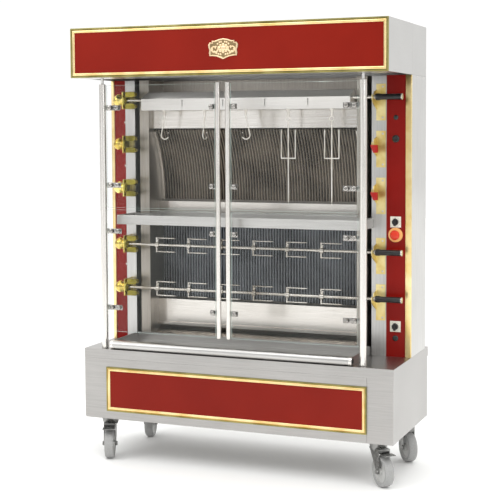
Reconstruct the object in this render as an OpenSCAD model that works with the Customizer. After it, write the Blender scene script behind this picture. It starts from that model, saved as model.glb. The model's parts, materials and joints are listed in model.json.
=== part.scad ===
// Free-standing wall rotisserie oven: five spit levels, glass doors, wheeled base and canopy hood.
// Millimetres, +Z up, front towards -Y, origin on the floor under the middle of the oven.

/* [Overall] */
// Width over the side panels
body_w = 1375; // [1150:5:1700]
// Depth of the base cabinet
base_d = 552; // [480:2:700]
// How far the canopy stands out in front of the base
canopy_reach = 89; // [40:1:160]
// Height of the casters
caster_h = 180; // [160:1:200]
// Height of the base cabinet
base_h = 301; // [240:1:400]
// Height from the base top to the underside of the hood
opening_h = 1156; // [1140:2:1500]
// Height of the hood
hood_h = 206; // [150:1:300]
// Thickness of the folded stainless sheet
sheet = 2; // [1.5:0.5:3]

/* [Base] */
// Depth of the folded skirt of the top plate
skirt_h = 40; // [25:1:60]
// Width of the plain corner at the right of the fascia
corner_w = 110; // [80:1:160]
// Gap under the fascia
fascia_gap = 4; // [2:1:10]
// Stainless margin left of the base moulding
base_margin = 106.5; // [80:0.5:160]
// Margin above the base moulding
base_margin_top = 75; // [60:1:100]
// Margin below the base moulding
base_margin_bottom = 35; // [20:1:60]

/* [Mouldings and enamel] */
// Width of the brass moulding on the base
base_brass_w = 18; // [12:1:26]
// Thickness of the brass moulding on the base
base_brass_t = 7; // [4:1:10]
// Width of the brass moulding on the hood
hood_brass_w = 20; // [12:1:30]
// Thickness of the brass moulding on the hood
hood_brass_t = 8; // [6:1:12]
// Width of the brass strip on the left column
left_brass_w = 15; // [10:1:24]
// Width of the brass strip on the right column
right_brass_w = 26; // [16:1:34]
// Thickness of the column brass strips
column_brass_t = 6; // [3:1:8]
// Width of the red strip on the left column
left_red_w = 52; // [40:1:60]
// Width of the red strip on the right column
right_red_w = 81; // [70:1:90]
// Thickness of the enamelled panels of base and hood
enamel_t = 3; // [2:0.5:4]
// Thickness of the enamelled strips on the columns
strip_t = 1; // [1:0.5:2]

/* [Columns] */
// Setback of the columns behind the base front
column_setback = 270; // [250:1:300]
// Depth of the columns
column_d = 229; // [210:1:280]
// Width of the left column
left_column_w = 115; // [110:1:135]
// Width of the right column
right_column_w = 170; // [160:1:190]
// Dark slot between the left column and the chamber
left_slot = 23.5; // [15:0.5:35]
// Dark slot between the right column and the chamber
right_slot = 19.5; // [15:0.5:35]

/* [Chamber] */
// Width of each chamber post
post_w = 45; // [35:1:60]
// Depth of the chamber posts
post_d = 152; // [145:1:170]
// Height of the lower chamber, from the base top to the middle tray
lower_chamber_h = 531; // [500:1:560]
// Height of the middle tray
mid_tray_h = 40; // [30:1:50]
// How far the middle tray stands out in front of the columns
mid_tray_reach = 170; // [150:1:180]
// Overhang of the middle tray beyond each post
mid_tray_overhang = 29; // [20:1:32]
// Thickness of the cast radiant plates
rib_plate_t = 6; // [5:1:8]
// Spacing of the ribs on the radiant plates
rib_pitch = 13; // [11:0.5:20]
// Height of the ribs
rib_h = 6; // [4:1:8]
// Diameter of the burner tubes
burner_dia = 24; // [18:1:28]
// Diameter of the gas pipe and of its inlet stub
gas_pipe_dia = 21.3; // [17:0.1:27]
// Length of the inlet stub behind the rear panel
gas_stub = 32; // [20:1:50]

/* [Spits] */
// Distance of the spit axes in front of the columns
spit_reach = 55; // [50:1:62]
// Height of the first spit axis below the hood
spit_top_gap = 89; // [80:1:95]
// Vertical spacing of the three upper spits
upper_pitch = 192; // [180:1:196]
// Height of the lowest spit above the base top
spit_bottom_gap = 243; // [235:1:260]
// Vertical spacing of the two lower spits
lower_pitch = 192; // [180:1:200]
// Diameter of the spit rods
spit_dia = 12; // [10:1:14]
// Number of twin-prong meat forks on a spit
meat_forks = 6; // [3:1:6]
// Spacing of the meat forks
meat_fork_pitch = 152; // [140:1:155]
// Half distance between the two prongs
prong_offset = 30; // [20:1:34]
// Length of the prongs
prong_len = 84; // [60:1:100]
// Diameter of the prongs
prong_dia = 6; // [5:0.5:7]
// Length of the black handle
handle_len = 116; // [90:1:124]
// Diameter of the black handle
handle_dia = 24; // [20:1:28]

/* [Drive] */
// Distance of the drive head centre from the left side
head_inset = 65.5; // [60:0.5:72]
// Radius of the domed brass head
head_r = 26; // [20:1:26]
// Diameter of the fork journal
journal_dia = 20; // [16:1:24]
// Length of the two fork lobes
lobe_len = 47; // [35:1:50]
// Radial clearance of running fits
run_fit = 0.05; // [0.02:0.01:0.1]
// Axial and free clearance between moving pieces
free_gap = 0.3; // [0.3:0.1:1]

/* [Hook rail] */
// Length of the hook rail housing
rail_len = 950; // [850:1:960]
// Spacing of the turning hooks
hook_pitch = 190.5; // [170:0.5:192]
// Diameter of the hook spindles
spindle_dia = 10; // [8:1:12]
// Diameter of the hook wire
hook_wire = 5; // [4:0.5:7]
// Radius of the hook bend
hook_r = 18; // [14:1:24]
// Turn of each hook at rest, in degrees
hook_turns = [0, 84, 186, 0, 0];

/* [Doors] */
// Door plane behind the base front
door_setback = 35; // [30:1:60]
// Left pivot axis from the left side
left_pivot_inset = 82; // [76:1:90]
// Right pivot axis from the right side
right_pivot_inset = 136; // [130:1:144]
// Handle tube of the left door from its pivot
left_door_w = 536; // [440:1:545]
// Gap between the two handle tube axes
handle_gap = 43; // [34:1:60]
// Diameter of the pivot tubes
pivot_dia = 28; // [25:1:34]
// Diameter of the handle tubes
handle_tube_dia = 20; // [16:1:25]
// Wall of the door tubes
tube_wall = 2; // [1.5:0.5:3]
// Diameter of the door pivot pins
pivot_pin_dia = 12; // [10:1:14]
// Space between the tube tops and the hood
door_top_gap = 24; // [18:1:40]
// Space between the glass and the base top
door_bottom_gap = 74; // [60:1:90]
// Thickness of the glass
glass_t = 6; // [5:1:8]
// Diameter of the glass clamp buttons
clamp_dia = 20; // [16:1:26]

/* [Bottom tray] */
// Height of the bottom tray
tray_h = 36; // [30:1:44]
// Clearance between the tray and the pivot tubes
tray_side_gap = 25; // [20:1:40]

/* [Controls] */
// Distance of the controls from the right side
control_inset = 67.5; // [60:0.5:75]
// Diameter of the emergency button
estop_dia = 40; // [34:1:44]
// Travel of the emergency button
estop_travel = 4; // [2:0.5:4]
// Travel of the start button
start_travel = 3; // [1:0.5:4]

/* [Casters] */
// Distance of the swivel axes from the sides
caster_inset_x = 82.5; // [76:0.5:120]
// Distance of the swivel axes from the base front and rear
caster_inset_y = 75; // [60:1:110]
// Diameter of the wheels
wheel_dia = 125; // [100:1:126]
// Width of the wheels
wheel_w = 38; // [30:1:40]
// Trail of the wheel behind the swivel axis
trail = 38; // [28:1:42]
// Direction of the trail at rest: front left, front right, rear left, rear right
trail_turns = [-68, -46, -75, -52];

/* [Hidden] */
$fn = 48;
eps = 0.01;
x_left = -body_w / 2;
x_right = body_w / 2;
total_d = canopy_reach + base_d;
y_hood = -total_d / 2;
y_base = y_hood + canopy_reach;
y_rear = total_d / 2;
y_col = y_base + column_setback;
y_col_rear = y_col + column_d;
z_base = caster_h;
z_top = z_base + base_h;
z_hood = z_top + opening_h;
z_roof = z_hood + hood_h;

// column and chamber lines
x_col_l = x_left + left_column_w;
x_col_r = x_right - right_column_w;
x_post_l = x_col_l + left_slot;
x_post_r = x_col_r - right_slot;
x_in_l = x_post_l + post_w;
x_in_r = x_post_r - post_w;
x_mid = (x_in_l + x_in_r) / 2;
y_back = y_col + post_d;
z_tray = z_top + lower_chamber_h;
z_tray_top = z_tray + mid_tray_h;

// spits
y_spit = y_col - spit_reach;
spit_z = [
    z_hood - spit_top_gap, z_hood - spit_top_gap - upper_pitch, z_hood - spit_top_gap - 2 * upper_pitch,
    z_top + spit_bottom_gap + lower_pitch, z_top + spit_bottom_gap];
x_head = x_left + head_inset;
x_flange = x_head + 30;
flange_t = 5;
flange_h = 76;
fork_disc_t = 6;
fork_disc_r = 25;
x_disc = x_flange + free_gap;
x_lobe = x_disc + fork_disc_t;
lobe_in = 14;
lobe_out = 38;
lobe_w = 22;
rail_shaft_dia = spit_dia + 2;
bracket_w = 40;
bracket_h = 150;
bracket_t = 3;
bracket_drop = 20;
x_bracket = x_col_r + 19.5;
arm_t = 4;
x_rod_end = x_bracket + arm_t + 5;
rod_grip = 22;
notch_gap = 0.5;

// hook rail
rail_front = 25;
rail_back = 36;
rail_drop = 45;
rail_rise = 4;
rail_slope = 30;
rail_seat = 16.5;
rail_slot_w = 3.5;
x_rail_l = x_mid - rail_len / 2;
x_rail_r = x_rail_l + rail_len;
z_rail = spit_z[0];
gear_r = 11.5;
hook_x = [for (i = [-2:2]) x_mid + 7.5 + i * hook_pitch];
z_spindle_end = z_rail - rail_drop - 32;
hook_drop = 75;
skewer_w = 62;
skewer_rod = 6;
skewer_ring_r = 9;
skewer_top = 2 * skewer_ring_r;
skewer_bar = 173;
skewer_end = 351;
skewer_rise = 112;

// doors
y_door = y_base + door_setback;
x_pivot = [x_left + left_pivot_inset, x_right - right_pivot_inset];
x_handle = [x_pivot[0] + left_door_w, x_pivot[0] + left_door_w + handle_gap];
z_door_top = z_hood - door_top_gap;
z_glass_low = z_top + door_bottom_gap;
z_split = (z_glass_low + z_door_top) / 2;
glass_split = 8;
pivot_glass_gap = 20;
handle_glass_gap = 14;
clamp_z = [z_door_top - 100, z_split + 100, z_split - 97, z_glass_low + 103];
pin_engage = 20;
pin_slack = 5;

// bottom tray
x_tray = [x_pivot[0] + pivot_dia / 2 + tray_side_gap, x_pivot[1] - pivot_dia / 2 - tray_side_gap + 2];
y_tray_rear = y_col - 1;
z_tray_low = z_top + free_gap;

// controls
x_control = x_right - control_inset;
y_panel = y_col - strip_t;
lamp_z = z_top + 984;
start_z = z_top + 897;
upper_selector_z = z_top + 557;
estop_z = upper_selector_z - 53;
lower_selector_z = z_top + 126;
spot_z = lower_selector_z - 49;
plate_w = 45;
knob_dia = 26;
stem_dia = 8;
ring_r = 30;

// casters
y_caster = [y_base + caster_inset_y, y_rear - caster_inset_y];
x_caster = [x_left + caster_inset_x, x_right - caster_inset_x];
caster_at = [for (y = y_caster) for (x = x_caster) [x, y]];
caster_plate_t = 4;
z_swivel = z_base - caster_plate_t - free_gap;
kingpin_dia = 12;
axle_dia = 12;
fork_in = wheel_w / 2 + 4;
fork_t = 3;
head_top_r = 40;
leg_back = -30;
z_bridge = wheel_dia + 18;
pedal_pin = 8;
pedal_at = [trail - 4, wheel_dia + 11];
rad = wheel_dia / 2;

corners = ["front_left", "front_right", "rear_left", "rear_right"];

// ---------- small helpers ----------
// box between two corners
module block(lo, hi) { translate(lo) cube(hi - lo); }
// cylinder along X, from its left end
module along_x(x, y, z, r, len) { translate([x, y, z]) rotate([0, 90, 0]) cylinder(r = r, h = len); }
// cylinder along Y, from its front end
module along_y(x, y, z, r, len) { translate([x, y, z]) rotate([-90, 0, 0]) cylinder(r = r, h = len); }
// outline in the Y-Z plane, extruded along X
module profile_x(x, len, pts) {
    translate([x, 0, 0]) rotate([90, 0, 90]) linear_extrude(len) polygon(pts);
}

// ---------- base ----------
module base_cabinet() {
    lo = [x_left + sheet, y_base + sheet, z_base];
    hi = [x_right - sheet, y_rear - sheet, z_top - sheet];
    wall = [sheet, sheet, sheet];
    louvre_w = 60;
    color("silver") difference() {
        block(lo, hi);
        block(lo + wall, hi - [sheet, sheet, -1]);
        // rear louvres
        for (i = [-5:5]) if (abs(i) > 1) for (k = [0:5])
            block([i * 90 - louvre_w / 2, y_rear - 3 * sheet, z_base + 90 + k * 22],
                [i * 90 + louvre_w / 2, y_rear, z_base + 96 + k * 22]);
    }
}

module base_top_plate() {
    color("gainsboro") {
        difference() {
            block([x_left, y_base, z_top - skirt_h], [x_right, y_rear, z_top]);
            block([x_left + sheet, y_base + sheet, z_top - skirt_h - 1],
                [x_right - sheet, y_rear - sheet, z_top - sheet]);
        }
        // pivot pins of the doors
        for (x = x_pivot) translate([x, y_door, z_top - eps])
            cylinder(d = pivot_pin_dia, h = pin_engage + eps);
    }
}

module base_front_fascia() {
    color("lightgray")
        block([x_left, y_base, z_base + fascia_gap], [x_right - corner_w, y_base + sheet, z_top - skirt_h]);
}

// moulding opening of the base: [left, low], [right, high]
base_frame = [[x_left + base_margin, z_base + base_margin_bottom],
    [x_right - corner_w, z_top - base_margin_top]];
hood_frame = [[x_left, z_hood], [x_right, z_roof]];

module panel_in(frame, w, y, t) {
    block([frame[0][0] + w, y, frame[0][1] + w], [frame[1][0] - w, y + t, frame[1][1] - w]);
}

module base_red_panel() { color("#8f241a") panel_in(base_frame, base_brass_w, y_base - enamel_t, enamel_t); }

// four mitred lengths of moulding round a frame
module mitred(frame, w, y, t) {
    a = frame[0];
    b = frame[1];
    cut = 0.05;
    sides = [
        [[a[0] + cut, a[1]], [b[0] - cut, a[1]], [b[0] - w - cut, a[1] + w], [a[0] + w + cut, a[1] + w]],
        [[a[0] + cut, b[1]], [a[0] + w + cut, b[1] - w], [b[0] - w - cut, b[1] - w], [b[0] - cut, b[1]]],
        [[a[0], a[1] + cut], [a[0] + w, a[1] + w + cut], [a[0] + w, b[1] - w - cut], [a[0], b[1] - cut]],
        [[b[0], a[1] + cut], [b[0], b[1] - cut], [b[0] - w, b[1] - w - cut], [b[0] - w, a[1] + w + cut]]];
    for (s = sides) translate([0, y + t, 0]) rotate([90, 0, 0]) linear_extrude(t) polygon(s);
}

module brass_mouldings() {
    color("goldenrod") {
        mitred(base_frame, base_brass_w, y_base - base_brass_t, base_brass_t);
        mitred(hood_frame, hood_brass_w, y_hood, hood_brass_t);
        block([x_left, y_col - column_brass_t, z_top], [x_left + left_brass_w, y_col, z_hood]);
        block([x_right - right_brass_w, y_col - column_brass_t, z_top], [x_right, y_col, z_hood]);
    }
}

module caster_plates() {
    color("dimgray") for (p = caster_at) {
        difference() {
            translate([p[0] - 52, p[1] - 42, z_base - caster_plate_t]) cube([104, 84, caster_plate_t]);
            for (i = [-1, 1]) for (k = [-1, 1])
                translate([p[0] + i * 40, p[1] + k * 30, z_base - caster_plate_t - 1])
                    cylinder(d = 9, h = 6);
        }
        translate([p[0], p[1], z_base - caster_plate_t - 20]) cylinder(d = kingpin_dia, h = 20 + eps);
    }
}

// ---------- hood ----------
y_hood_face = y_hood + hood_brass_t;
y_soffit = y_door + 46;
module hood_shell() {
    color("silver") {
        difference() {
            block([x_left, y_hood_face, z_hood], [x_right, y_col, z_roof]);
            block([x_left + sheet, y_hood_face + sheet, z_hood + sheet],
                [x_right - sheet, y_col + 1, z_roof - sheet]);
            block([x_left + sheet, y_soffit, z_hood - 1], [x_right - sheet, y_col + 1, z_hood + sheet + 1]);
        }
        // pivot pins hanging into the door tubes
        for (x = x_pivot) translate([x, y_door, z_door_top - pin_engage])
            cylinder(d = pivot_pin_dia, h = door_top_gap + pin_engage + eps);
    }
}

module hood_rear_housing() {
    slots = 13;
    slot_pitch = 90;
    color("silver") difference() {
        block([x_left, y_col, z_hood], [x_right, y_col_rear, z_roof]);
        block([x_left + sheet, y_col - 1, z_hood - 1], [x_right - sheet, y_col_rear - sheet, z_roof - sheet]);
        // flue slots in the roof
        for (i = [0:slots - 1]) for (y = [y_col + 60, y_col + 120])
            block([(i - (slots - 1) / 2) * slot_pitch - 30, y, z_roof - 2 * sheet],
                [(i - (slots - 1) / 2) * slot_pitch + 30, y + 12, z_roof + 1]);
    }
}

module hood_red_panel() {
    color("#8f241a") panel_in(hood_frame, hood_brass_w, y_hood_face - enamel_t, enamel_t);
}

// plain scrolled cartouche
module hood_emblem() {
    emblem_w = 132;
    emblem_h = 82;
    t = hood_brass_t - enamel_t - 0.6;
    z_mid = (z_hood + z_roof) / 2;
    color("tan") translate([8, y_hood_face - enamel_t, z_mid]) rotate([90, 0, 0]) linear_extrude(t) {
        square([emblem_w - 22, emblem_h - 22], center = true);
        translate([0, -30]) intersection() { circle(r = 72); translate([-42, 0]) square([84, 80]); }
        for (s = [-1, 1]) {
            translate([s * (emblem_w / 2 - 14), emblem_h / 2 - 22]) circle(r = 14);
            translate([s * (emblem_w / 2 - 12), -emblem_h / 2 + 15]) circle(r = 12);
        }
        translate([0, -emblem_h / 2 + 12]) circle(r = 13);
    }
}

// ---------- columns ----------
control_holes = [[lamp_z, 8], [start_z, 12], [upper_selector_z, 6], [estop_z, 9], [lower_selector_z, 6]];

module left_column() {
    color("silver") difference() {
        block([x_left, y_col, z_top], [x_col_l, y_col_rear - sheet, z_hood]);
        block([x_left + sheet, y_col + sheet, z_top - 1], [x_col_l - sheet, y_col_rear, z_hood + 1]);
        for (z = spit_z) along_y(x_head, y_col - 1, z, 15, 5);
    }
}

module right_column() {
    color("silver") difference() {
        block([x_col_r, y_col, z_top], [x_right, y_col_rear - sheet, z_hood]);
        block([x_col_r + sheet, y_col + sheet, z_top - 1], [x_right - sheet, y_col_rear, z_hood + 1]);
        for (c = control_holes) along_y(x_control, y_col - 1, c[0], c[1], 5);
    }
}

module column_red_panels() {
    color("#a02018") {
        difference() {
            block([x_left + left_brass_w, y_panel, z_top],
                [x_left + left_brass_w + left_red_w, y_col, z_hood]);
            for (z = spit_z) along_y(x_head, y_panel - 1, z, 15, 5);
        }
        difference() {
            block([x_right - right_brass_w - right_red_w, y_panel, z_top],
                [x_right - right_brass_w, y_col, z_hood]);
            for (c = control_holes) along_y(x_control, y_panel - 1, c[0], c[1], 5);
        }
    }
}

gas_x = x_post_r - post_w / 2;
gas_y = y_back - 40;
gas_z = z_top + 90;
module rear_panel() {
    color("lightgray") difference() {
        block([x_left, y_col_rear - sheet, z_top], [x_right, y_col_rear, z_hood]);
        along_y(gas_x, y_col_rear - 10, gas_z, gas_pipe_dia / 2 + 1.5, 20);
        for (s = [x_left + left_column_w / 2, x_right - right_column_w / 2]) for (k = [0:9])
            block([s - 28, y_col_rear - 3 * sheet, z_hood - 260 + k * 20],
                [s + 28, y_col_rear + 1, z_hood - 254 + k * 20]);
    }
}

module spit_brackets() {
    notch_r = spit_dia / 2 + 1 + notch_gap;
    color("gold") for (z = spit_z) difference() {
        union() {
            block([x_bracket, y_col - bracket_t, z - bracket_drop - bracket_h / 2],
                [x_bracket + bracket_w, y_col, z - bracket_drop + bracket_h / 2]);
            profile_x(x_bracket, arm_t, [[y_col - bracket_t, z - 52], [y_col - bracket_t, z + 30],
                [y_spit + 14, z + 22], [y_spit + 9, z + 10], [y_spit - 16, z + 10], [y_spit - 16, z - 12],
                [y_spit - 4, z - 24]]);
        }
        along_x(x_bracket - 1, y_spit, z, notch_r, arm_t + 2);
        block([x_bracket - 1, y_spit - notch_r, z], [x_bracket + arm_t + 1, y_spit + notch_r, z + 40]);
    }
}

module screw_head(p, dir, d) {
    translate(p) rotate(dir) cylinder(d1 = d, d2 = 0.6 * d, h = 0.22 * d);
}

module panel_screws() {
    color("gray") {
        for (y = [y_col + 75, y_col + 185]) {
            screw_head([x_right, y, z_hood - 8], [0, 90, 0], 8);
            screw_head([x_left, y, z_hood - 8], [0, -90, 0], 8);
        }
        for (z = [z_top + 40 : 268 : z_hood - 30]) for (s = [-1, 1])
            screw_head([s * (body_w / 2 - 20), y_col_rear, z], [-90, 0, 0], 9);
        for (z = spit_z) for (dz = [-bracket_h / 2 + 12, bracket_h / 2 - 12])
            screw_head([x_bracket + bracket_w - 12, y_col - bracket_t, z - bracket_drop + dz],
                [90, 0, 0], 9);
        for (i = [0:3])
            screw_head([x_head, y_panel, (spit_z[i] + spit_z[i + 1]) / 2], [90, 0, 0], 9);
    }
}

// ---------- chamber ----------
module chamber_frame() {
    rib_clear = 12;
    color("silver") {
        difference() {
            union() {
                block([x_post_l, y_col, z_top], [x_in_l, y_back, z_hood]);
                block([x_in_r, y_col, z_top], [x_post_r, y_back, z_hood]);
                block([x_post_l, y_back - eps, z_top], [x_post_r, y_back + sheet, z_hood]);
            }
            block([x_post_l + sheet, y_col + sheet, z_top - 1], [x_in_l - sheet, y_back, z_hood + 1]);
            block([x_in_r + sheet, y_col + sheet, z_top - 1], [x_post_r - sheet, y_back, z_hood + 1]);
            along_y(gas_x, y_back - 5, gas_z, gas_pipe_dia / 2 + 1.5, 12);
            for (b = burner_at) along_x(x_in_r - 5, b[0], b[1], burner_dia / 2 + 1, 12);
        }
        // arms under the middle tray
        for (x = [x_post_l + 8, x_post_r - 20])
            block([x, y_col - mid_tray_reach + 26, z_tray + tray_floor - 12],
                [x + 12, y_col + eps, z_tray + tray_floor]);
        // ledges that carry the radiant plates
        for (z = [z_upper_rib - rib_clear, z_lower_rib - rib_clear]) {
            block([x_in_l - eps, y_rib - 2, z], [x_in_l + 14, y_back + eps, z + rib_clear - free_gap]);
            block([x_in_r - 14, y_rib - 2, z], [x_in_r + eps, y_back + eps, z + rib_clear - free_gap]);
        }
    }
}

// radiant plates: foot line and heights
y_rib = y_back - 26;
y_rib_back = y_rib + rib_plate_t + rib_h;
tray_floor = 14;
z_upper_rib = z_tray_top + 56;
upper_rib_rise = spit_z[1] + 66 - z_upper_rib;
rib_forward = 95;
z_lower_rib = z_top + 184;
z_lower_rib_top = z_tray - 20;
rib_side_gap = 2;
burner_at = [[y_rib - 8, z_upper_rib - 28], [y_rib - 8, z_lower_rib - 28]];

// comb outline: x along the first axis, thickness along the second
function comb(len) = let (
    n = floor((len - rib_pitch / 2) / rib_pitch),
    left = (len - n * rib_pitch) / 2
) concat(
    [[0, 0], [len, 0], [len, rib_plate_t]],
    [for (i = [n - 1:-1:0]) each let (x = left + i * rib_pitch + rib_pitch / 4) [
        [x + rib_pitch / 2, rib_plate_t], [x + rib_pitch / 2 - 1, rib_plate_t + rib_h],
        [x + 1, rib_plate_t + rib_h], [x, rib_plate_t]]],
    [[0, rib_plate_t]]);

module rib_plates() {
    len = x_in_r - x_in_l - 2 * rib_side_gap;
    bend = 2 * atan(rib_forward / upper_rib_rise);
    bend_r = upper_rib_rise / sin(bend);
    color("dimgray") {
        // upper plate leans forward along an arc
        translate([x_in_l + rib_side_gap, y_rib_back - bend_r, z_upper_rib]) rotate([90, 0, 90])
            rotate_extrude(angle = bend, $fn = 180) polygon([for (p = comb(len)) [bend_r - p[1], p[0]]]);
        // lower plate is straight
        translate([x_in_l + rib_side_gap, y_rib_back, z_lower_rib]) mirror([0, 1, 0])
            linear_extrude(z_lower_rib_top - z_lower_rib) polygon(comb(len));
    }
}

module reflector_sheets() {
    len = x_in_r - x_in_l;
    t = 1.5;
    y_ref = y_rib_back - rib_forward - rib_plate_t - rib_h - 4;
    z_ref = z_upper_rib + upper_rib_rise + 3;
    z_ref_top = z_rail + 12;
    y_apron = y_rib - 28;
    y_low = y_rib - 46;
    z_low = z_top + 64;
    z_fold = z_upper_rib - 10;
    color("whitesmoke") {
        // polished reflector over the upper radiant, with a foot flange
        profile_x(x_in_l, len, [[y_ref, z_ref], [y_ref + 18, z_ref], [y_ref + 18, z_ref + t],
            [y_ref + t, z_ref + t], [y_ref + t, z_ref_top], [y_ref, z_ref_top]]);
        // upper burner apron
        profile_x(x_in_l, len, [[y_apron, z_tray_top + 2], [y_apron + t, z_tray_top + 2],
            [y_apron + t, z_fold], [y_apron + 6, z_fold], [y_apron + 6, z_fold + t], [y_apron, z_fold + t]]);
        // lower burner apron with a hem at its foot
        profile_x(x_in_l, len, [[y_low - 12, z_low], [y_low + t, z_low], [y_low + t, z_lower_rib - 6],
            [y_low + 24, z_lower_rib - 6], [y_low + 24, z_lower_rib - 6 + t], [y_low, z_lower_rib - 6 + t],
            [y_low, z_low + 14], [y_low - 12, z_low + 12]]);
        // sloping deflector behind the bottom tray
        profile_x(x_in_l, len, [[y_tray_rear + 4, z_top + 1], [y_tray_rear + 4, z_top + 3],
            [y_low + 30, z_low - 4], [y_low + 30, z_low - 6]]);
    }
}

module gas_burners() {
    color("gray") {
        for (b = burner_at) {
            difference() {
                along_x(x_in_l + 12, b[0], b[1], burner_dia / 2, gas_x - 14 - x_in_l - 12);
                // row of gas ports along the front
                for (x = [x_in_l + 40 : 40 : x_in_r - 30]) along_y(x, b[0] - burner_dia, b[1], 2, burner_dia);
            }
        }
        union() {
            for (b = burner_at) translate([gas_x - 14, gas_y - 8, b[1] - 13]) cube([24, 24, 26]);
            translate([gas_x, gas_y, gas_z - gas_pipe_dia / 2])
                cylinder(d = 16, h = burner_at[0][1] - gas_z + gas_pipe_dia / 2);
            along_y(gas_x, gas_y, gas_z, gas_pipe_dia / 2 - 2, y_col_rear + 5 - gas_y);
            along_y(gas_x, y_col_rear + 2, gas_z, gas_pipe_dia / 2, gas_stub - 2);
        }
    }
}

module middle_drip_tray() {
    t = 2;
    side = 2;
    x0 = x_post_l - mid_tray_overhang;
    x1 = x_post_r + mid_tray_overhang;
    y0 = y_col - mid_tray_reach;
    y1 = y_col - 2.5;
    y2 = y_rib - 30;
    floor_z = z_tray + tray_floor;
    color("silver") difference() {
        union() {
            block([x0, y0, z_tray], [x1, y1, z_tray_top]);
            block([x_in_l + side, y1 - eps, floor_z], [x_in_r - side, y2, z_tray_top]);
        }
        // dripping space
        block([x0 + t, y0 + 3, floor_z + t], [x1 - t, y1 - t, z_tray_top + 1]);
        block([x_in_l + side + t, y1 - 2 * t, floor_z + t], [x_in_r - side - t, y2 - t, z_tray_top + 1]);
        // underside behind the lip
        block([x0 + t, y0 + 3, z_tray - 1], [x1 - t, y1 + 1, floor_z]);
    }
}

module bottom_drip_tray() {
    r = tray_h / 2;
    t = 2;
    color("silver") {
        along_x(x_tray[0], y_base + r, z_tray_low + r, r, x_tray[1] - x_tray[0]);
        difference() {
            block([x_tray[0], y_base + r, z_tray_low], [x_tray[1], y_tray_rear, z_tray_low + tray_h]);
            block([x_tray[0] + t, y_base + 2 * r, z_tray_low + t],
                [x_tray[1] - t, y_tray_rear - t, z_tray_low + tray_h + 1]);
        }
    }
}

// ---------- drive ----------
module drive_heads() {
    color("gold") for (z = spit_z) difference() {
        union() {
            translate([x_head, y_spit, z]) sphere(r = head_r);
            along_y(x_head, y_spit, z, head_r - 4, y_panel - y_spit);
            along_y(x_head, y_panel - eps, z, 14, y_col + sheet - y_panel + eps);
            along_x(x_head, y_spit, z, head_r - 6, x_flange - x_head - 1);
            block([x_flange - flange_t, y_spit - 22, z - flange_h / 2],
                [x_flange, y_panel, z + flange_h / 2]);
        }
        along_x(x_head + 8, y_spit, z, journal_dia / 2 + run_fit, 40);
    }
}

module spit_gearmotors() {
    color("slategray") for (z = spit_z) {
        block([x_head - 40, y_col + sheet, z - 38], [x_head + 38, y_col + sheet + 66, z + 38]);
        along_y(x_head - 4, y_col + sheet + 66, z, 34, 88);
    }
}

module fork(i) {
    color("gold") translate([0, y_spit, spit_z[i]]) {
        along_x(x_head + 9, 0, 0, journal_dia / 2, x_disc - x_head - 9 + eps);
        along_x(x_disc, 0, 0, fork_disc_r, fork_disc_t);
        for (s = [-1, 1]) intersection() {
            block([x_lobe - eps, -lobe_w / 2, min(s * lobe_in, s * lobe_out)],
                [x_lobe + lobe_len, lobe_w / 2, max(s * lobe_in, s * lobe_out)]);
            union() {
                along_x(x_lobe - 1, 0, 0, lobe_out, lobe_len - 9);
                translate([x_lobe + lobe_len - 11, -lobe_w / 2 - 1, s * (lobe_in + lobe_out) / 2])
                    rotate([-90, 0, 0])
                    cylinder(d = lobe_out - lobe_in - 2, h = lobe_w + 2);
            }
        }
        // web that ties the lobes to the disc
        block([x_lobe - eps, -lobe_w / 2, -lobe_out + 1], [x_lobe + 3, lobe_w / 2, lobe_out - 1]);
    }
}

// ---------- spits, handles and hook rail ----------
module spit(i) {
    x_first = x_mid - (meat_forks - 1) / 2 * meat_fork_pitch - prong_len / 2;
    color("silver") translate([0, y_spit, spit_z[i]]) {
        along_x(x_lobe + 3 + free_gap, 0, 0, spit_dia / 2,
            x_rod_end + rod_grip - x_lobe - 3 - free_gap);
        for (k = [0:meat_forks - 1]) translate([x_first + k * meat_fork_pitch, 0, 0]) {
            along_x(0, 0, 0, 12, 16);
            block([2, -4, -prong_offset - prong_dia / 2], [8, 4, prong_offset + prong_dia / 2]);
            for (s = [-1, 1]) {
                along_x(2, 0, s * prong_offset, prong_dia / 2, prong_len - 2);
                translate([prong_len, 0, s * prong_offset]) rotate([0, 90, 0])
                    cylinder(d1 = prong_dia, d2 = 1, h = 12);
            }
            // thumb screw
            translate([9, 0, 10]) cylinder(d = 6, h = 9);
            translate([9, 0, 19]) cylinder(d = 13, h = 5);
        }
    }
}

module handle(i) {
    rod_r = (i == 0 ? rail_shaft_dia : spit_dia) / 2;
    grip_r = handle_dia / 2;
    color("black") translate([x_rod_end, y_spit, spit_z[i]]) rotate([0, 90, 0]) rotate_extrude() polygon([
        [rod_r, 0], [grip_r + 1, 0], [grip_r + 2, 3], [grip_r + 2, 20], [grip_r, 26], [grip_r - 1, 60],
        [grip_r, handle_len - 8], [grip_r + 1, handle_len - 7], [grip_r + 1, handle_len - 1],
        [grip_r, handle_len], [0, handle_len], [0, rod_grip], [rod_r, rod_grip]]);
}

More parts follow.
